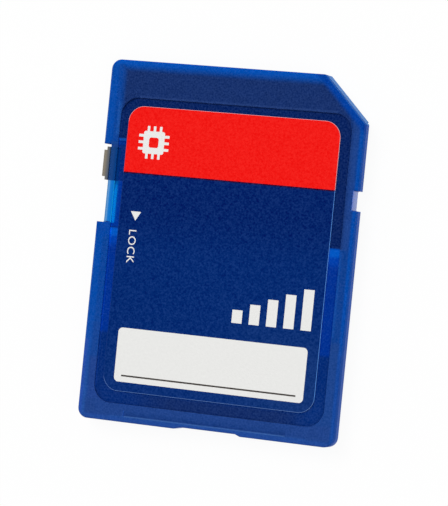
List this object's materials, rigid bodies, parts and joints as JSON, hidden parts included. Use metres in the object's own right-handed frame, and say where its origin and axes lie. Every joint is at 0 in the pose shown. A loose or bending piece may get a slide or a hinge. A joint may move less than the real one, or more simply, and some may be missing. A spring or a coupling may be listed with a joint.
{
  "type": "sd memory card",
  "caption": "Flat flash memory card with one cut corner, a welded translucent case, recessed edge contacts on its back and a sliding write-protect switch in its side.",
  "frame": {"origin": "middle of the back face, with the card lying on its back", "axes": "+X across the card, away from the write-protect switch; +Y along it towards the contact end; +Z out of the label"},
  "size_m": [0.024, 0.032, 0.0021],
  "materials": {
    "blue_case": "translucent polycarbonate, finely textured",
    "grey_slider": "moulded, satin",
    "label_film": "printed film, satin laminate",
    "laminate": "solder mask",
    "epoxy_moulding": "moulded, matt",
    "silicon": "ground",
    "ceramic_chip": "fired",
    "gold_plating": "plated, satin"
  },
  "bodies": {
    "card": {"front_cover": "blue_case", "rear_cover": "blue_case", "front_label": "label_film", "module_substrate": "laminate", "module_moulding": "epoxy_moulding", "flash_die": "silicon", "controller_die": "silicon", "bypass_capacitor_1": "ceramic_chip", "bypass_capacitor_2": "ceramic_chip", "bypass_capacitor_3": "ceramic_chip", "contact_1": "gold_plating", "contact_2": "gold_plating", "contact_3": "gold_plating", "contact_4": "gold_plating", "contact_5": "gold_plating", "contact_6": "gold_plating", "contact_7": "gold_plating", "contact_8": "gold_plating", "contact_9": "gold_plating"},
    "lock_slider": {"write_protect_slider": "grey_slider"}
  },
  "joints": [
    {"name": "write_protect_slide", "type": "slide", "parent": "card", "child": "lock_slider", "axis": [0, -1, 0], "range_m": [0, 0.0035]}
  ]
}
